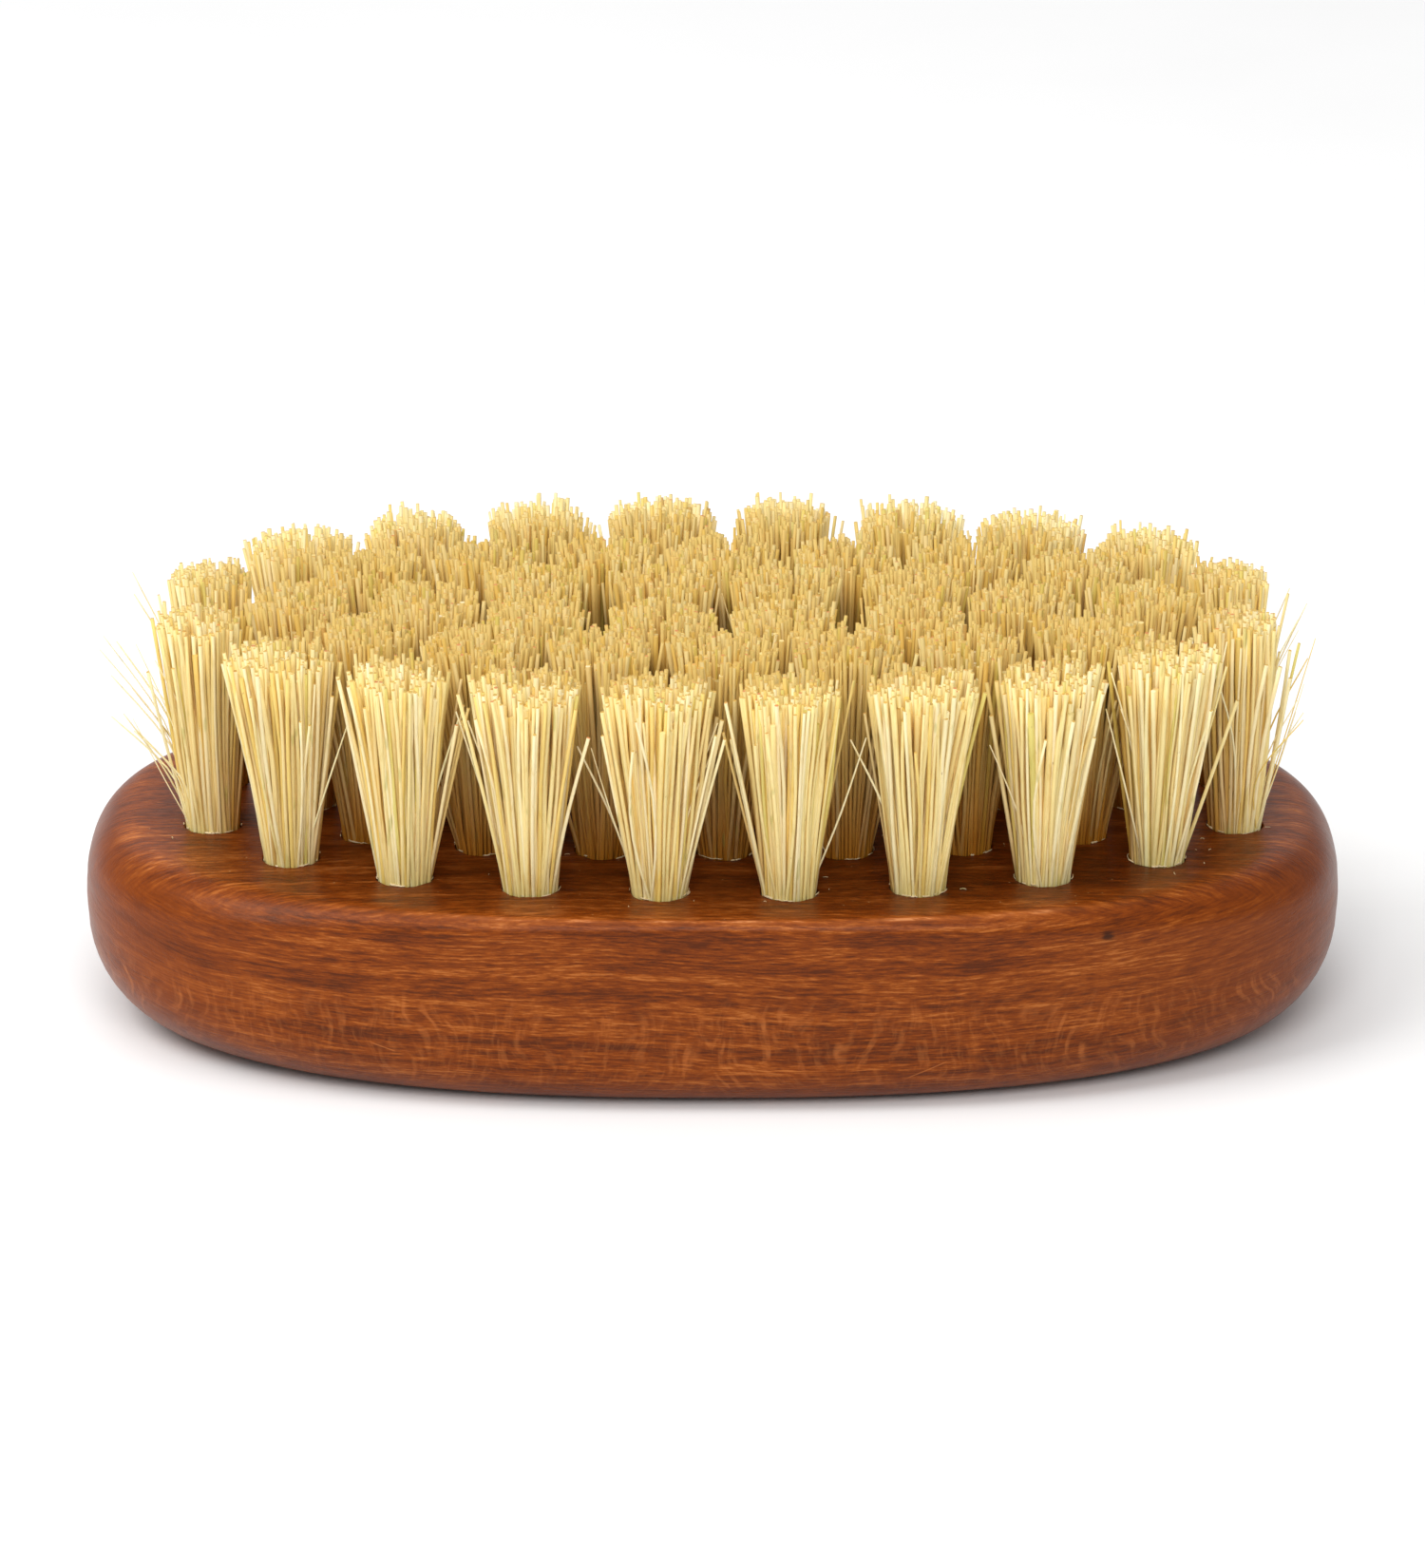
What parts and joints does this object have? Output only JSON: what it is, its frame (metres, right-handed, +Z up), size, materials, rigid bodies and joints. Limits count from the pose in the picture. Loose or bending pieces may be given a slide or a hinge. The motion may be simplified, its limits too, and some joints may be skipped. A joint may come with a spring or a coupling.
{
  "type": "beard brush",
  "caption": "Palm-sized oval beard brush: a flat-backed wooden block set with rings of short, stiff plant-fibre tufts, used to comb and smooth a beard.",
  "frame": {"origin": "centre of the flat back that the brush rests on, at the middle of the block's outline", "axes": "+Z up along the tufts, +X along the long axis of the oval, +Y across it"},
  "size_m": [0.11, 0.058, 0.0371],
  "materials": {
    "stained_wood": "satin clear lacquer over a reddish-brown stain, grain along the long axis",
    "plant_fibre": "undyed cream-yellow plant fibre, cut flat on top, matt",
    "anchor_steel": "bright flat wire"
  },
  "bodies": {
    "root": {"block": "stained_wood", "anchors": "anchor_steel", "tuft_01": "plant_fibre", "tuft_02": "plant_fibre", "tuft_03": "plant_fibre", "tuft_04": "plant_fibre", "tuft_05": "plant_fibre", "tuft_06": "plant_fibre", "tuft_07": "plant_fibre", "tuft_08": "plant_fibre", "tuft_09": "plant_fibre", "tuft_10": "plant_fibre", "tuft_11": "plant_fibre", "tuft_12": "plant_fibre", "tuft_13": "plant_fibre", "tuft_14": "plant_fibre", "tuft_15": "plant_fibre", "tuft_16": "plant_fibre", "tuft_17": "plant_fibre", "tuft_18": "plant_fibre", "tuft_19": "plant_fibre", "tuft_20": "plant_fibre", "tuft_21": "plant_fibre", "tuft_22": "plant_fibre", "tuft_23": "plant_fibre", "tuft_24": "plant_fibre", "tuft_25": "plant_fibre", "tuft_26": "plant_fibre", "tuft_27": "plant_fibre", "tuft_28": "plant_fibre", "tuft_29": "plant_fibre", "tuft_30": "plant_fibre", "tuft_31": "plant_fibre", "tuft_32": "plant_fibre", "tuft_33": "plant_fibre", "tuft_34": "plant_fibre", "tuft_35": "plant_fibre", "tuft_36": "plant_fibre", "tuft_37": "plant_fibre", "tuft_38": "plant_fibre", "tuft_39": "plant_fibre", "tuft_40": "plant_fibre", "tuft_41": "plant_fibre", "tuft_42": "plant_fibre", "tuft_43": "plant_fibre", "tuft_44": "plant_fibre", "tuft_45": "plant_fibre", "tuft_46": "plant_fibre"}
  },
  "joints": []
}
